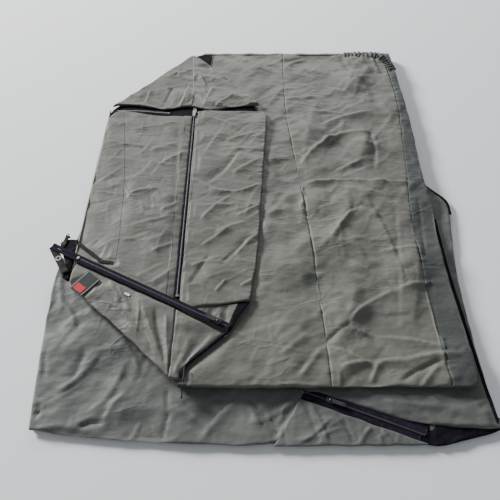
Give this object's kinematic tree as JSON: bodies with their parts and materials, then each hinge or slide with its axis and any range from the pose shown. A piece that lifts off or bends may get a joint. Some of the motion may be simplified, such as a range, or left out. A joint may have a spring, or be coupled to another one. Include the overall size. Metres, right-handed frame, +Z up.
{
  "type": "bivy sack",
  "caption": "Folded one-person bivy sack with a zipped hood, side entry zip, webbing tabs with eyelet and D-ring, and a drawcord.",
  "frame": {"origin": "middle of the footprint, on the ground", "axes": "+X right, +Y from the near edge towards the main fold, +Z up"},
  "size_m": [0.8868, 1.1094, 0.0474],
  "materials": {
    "shell": "satin, coated nylon",
    "floor": "matte, coated nylon",
    "gusset": "satin",
    "seam": "satin",
    "lining": "matte",
    "zip_tape": "matte",
    "coil": "satin",
    "zip_metal": "worn",
    "black_metal": "satin",
    "webbing": "woven",
    "steel": "polished",
    "label": "woven",
    "badge": "woven",
    "care_tag": "matte",
    "cord": "braided",
    "lock_plastic": "satin"
  },
  "bodies": {
    "lower_half": {"floor_panel": "floor", "lower_top_panel": "shell", "entry_lining": "lining", "entry_tape_near": "zip_tape", "entry_tape_far": "zip_tape", "entry_coil": "coil", "entry_stop": "zip_metal"},
    "entry_slider": {"entry_slider": "black_metal"},
    "entry_puller": {"entry_puller": "black_metal"},
    "upper_half": {"upper_floor_panel": "floor", "upper_top_panel": "shell", "side_gusset": "gusset", "panel_seam": "seam", "gusset_seam": "seam", "hem_elastic": "gusset", "corner_patch": "shell", "band_end_tape": "zip_tape", "ring_webbing": "webbing"},
    "ring": {"d_ring": "steel"},
    "eyelet_tab": {"eyelet_webbing": "webbing", "eyelet": "steel"},
    "hood": {"hood_lining": "lining", "hood_left_panel": "shell", "hood_right_panel": "shell", "crown_left_panel": "shell", "crown_right_panel": "shell", "storm_flap_left": "shell", "storm_flap_right": "shell", "front_tape_left": "zip_tape", "front_tape_right": "zip_tape", "front_coil": "coil", "front_stop": "zip_metal", "band_tape_far": "zip_tape", "band_tape_near": "zip_tape", "band_coil": "coil", "band_stop": "zip_metal", "hood_hem": "zip_tape", "hang_tape": "webbing"},
    "front_slider": {"front_slider": "zip_metal"},
    "front_puller": {"front_puller": "zip_metal"},
    "band_slider": {"band_slider": "black_metal"},
    "band_puller": {"band_puller": "black_metal"},
    "peak": {"peak_left_panel": "shell", "peak_right_panel": "shell", "peak_hem": "zip_tape", "care_tag": "care_tag", "drawcord": "cord", "cord_end": "cord"},
    "label": {"label_base": "label", "label_badge": "badge"},
    "cord_lock": {"lock_body": "lock_plastic"},
    "lock_button": {"lock_button": "lock_plastic"}
  },
  "joints": [
    {"name": "main_fold", "type": "hinge", "parent": "lower_half", "child": "upper_half", "pos_m": [0, 0.555, 0.0139], "axis": [-1, 0, 0], "range_deg": [0, 145]},
    {"name": "hood_fold", "type": "hinge", "parent": "upper_half", "child": "hood", "pos_m": [-0.384, 0, 0.0383], "axis": [0, -1, 0], "range_deg": [0, 165]},
    {"name": "peak_fold", "type": "hinge", "parent": "hood", "child": "peak", "pos_m": [-0.432, -0.165, 0.0383], "axis": [0.8949, -0.4463, 0], "range_deg": [-90, 0]},
    {"name": "front_zip_slide", "type": "slide", "parent": "hood", "child": "front_slider", "axis": [0, -1, 0], "range_m": [0, 0.535]},
    {"name": "front_puller_swing", "type": "hinge", "parent": "front_slider", "child": "front_puller", "pos_m": [-0.161, 0.288, 0.0397], "axis": [-1, 0, 0], "range_deg": [0, 150]},
    {"name": "band_zip_slide", "type": "slide", "parent": "hood", "child": "band_slider", "axis": [0.8949, -0.4463, 0], "range_m": [-0.3, 0]},
    {"name": "band_puller_swing", "type": "hinge", "parent": "band_slider", "child": "band_puller", "pos_m": [-0.07732, -0.33225, 0.0455], "axis": [0.4463, 0.8949, 0], "range_deg": [0, 150]},
    {"name": "entry_zip_slide", "type": "slide", "parent": "lower_half", "child": "entry_slider", "axis": [0.9355, -0.3534, 0], "range_m": [-0.008, 0.14]},
    {"name": "entry_puller_swing", "type": "hinge", "parent": "entry_slider", "child": "entry_puller", "pos_m": [0.12926, -0.4755, 0.0159], "axis": [-0.3534, -0.9355, 0], "range_deg": [0, 150]},
    {"name": "ring_swing", "type": "hinge", "parent": "upper_half", "child": "ring", "pos_m": [-0.409, -0.126, 0.0347], "axis": [-0.982, 0.1888, 0], "range_deg": [-120, 60]},
    {"name": "eyelet_tab_lift", "type": "hinge", "parent": "upper_half", "child": "eyelet_tab", "pos_m": [-0.394, -0.219, 0.0352], "axis": [-0.8437, -0.5369, 0], "range_deg": [-100, 0]},
    {"name": "label_lift", "type": "hinge", "parent": "peak", "child": "label", "pos_m": [-0.333, -0.227, 0.0384], "axis": [0.7986, -0.6018, 0], "range_deg": [-70, 0]},
    {"name": "cord_lock_slide", "type": "slide", "parent": "peak", "child": "cord_lock", "axis": [-0.0657, -0.9201, -0.3861], "range_m": [-0.002, 0.008]},
    {"name": "lock_button_press", "type": "slide", "parent": "cord_lock", "child": "lock_button", "axis": [1, 0, 0], "range_m": [0, 0.0018], "stiffness_N_per_m": 400}
  ]
}
